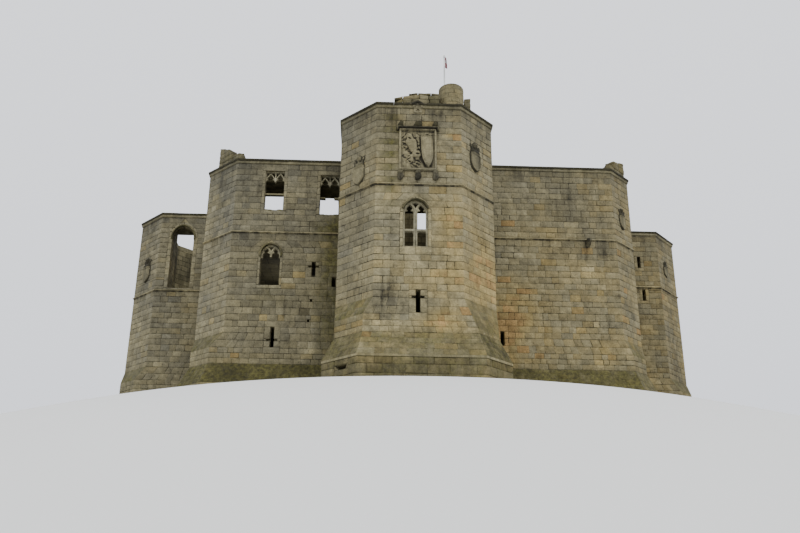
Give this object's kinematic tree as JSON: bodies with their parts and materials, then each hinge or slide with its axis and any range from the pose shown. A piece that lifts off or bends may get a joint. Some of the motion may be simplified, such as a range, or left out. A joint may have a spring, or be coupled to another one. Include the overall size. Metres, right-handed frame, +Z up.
{
  "type": "ruined castle keep",
  "caption": "Roofless square stone keep with cut-off corners, canted turrets, plinth, spurs, coping and traceried windows.",
  "frame": {"origin": "on the ground at the middle of the square block", "axes": "+X to the right turret, +Y to the back turret, +Z up; the front turret stands towards -Y"},
  "size_m": [30.25, 31.24, 14.829],
  "materials": {
    "wall_masonry": "weathered squared sandstone blocks with lichen and open joints",
    "turret_masonry": "weathered squared sandstone blocks with lichen and open joints",
    "inner_masonry": "rough sandstone blocks, sheltered side",
    "flagstones": "worn paving with moss in the joints",
    "coping_stone": "weathered coping, dark with moss along its edge",
    "string_stone": "moulded course, stained",
    "parapet_stone": "broken and weathered stone",
    "tracery_stone": "dressed pale sandstone",
    "carved_stone": "worn carving, dark with lichen",
    "painted_pole": "satin paint",
    "flag_cloth": "thin woven cloth"
  },
  "bodies": {
    "root": {"front_wall_left": "wall_masonry", "front_wall_right": "wall_masonry", "right_walls": "wall_masonry", "back_wall_right": "wall_masonry", "back_wall_left": "wall_masonry", "left_walls": "wall_masonry", "corner_walls": "wall_masonry", "front_inner_wall": "inner_masonry", "right_inner_wall": "inner_masonry", "back_inner_wall": "inner_masonry", "left_inner_wall": "inner_masonry", "front_turret_face": "turret_masonry", "front_turret_cants": "turret_masonry", "front_turret_sides": "turret_masonry", "right_turret_face": "turret_masonry", "right_turret_cants": "turret_masonry", "right_turret_sides": "turret_masonry", "back_turret_face": "turret_masonry", "back_turret_cants": "turret_masonry", "back_turret_sides": "turret_masonry", "left_turret_face": "turret_masonry", "left_turret_cants": "turret_masonry", "left_turret_sides": "turret_masonry", "ground_floor": "flagstones", "first_floor": "flagstones", "second_floor": "flagstones", "coping_front": "coping_stone", "coping_right": "coping_stone", "coping_back": "coping_stone", "coping_left": "coping_stone", "string_course": "string_stone", "parapet_front": "parapet_stone", "parapet_corners": "parapet_stone", "round_stack": "parapet_stone", "flagpole": "painted_pole", "flag": "flag_cloth", "front_window": "tracery_stone", "pointed_window": "tracery_stone", "upper_windows": "tracery_stone", "back_window": "tracery_stone", "back_hall_windows": "tracery_stone", "carved_panel": "carved_stone", "shields": "carved_stone", "spout": "carved_stone"}
  },
  "joints": []
}
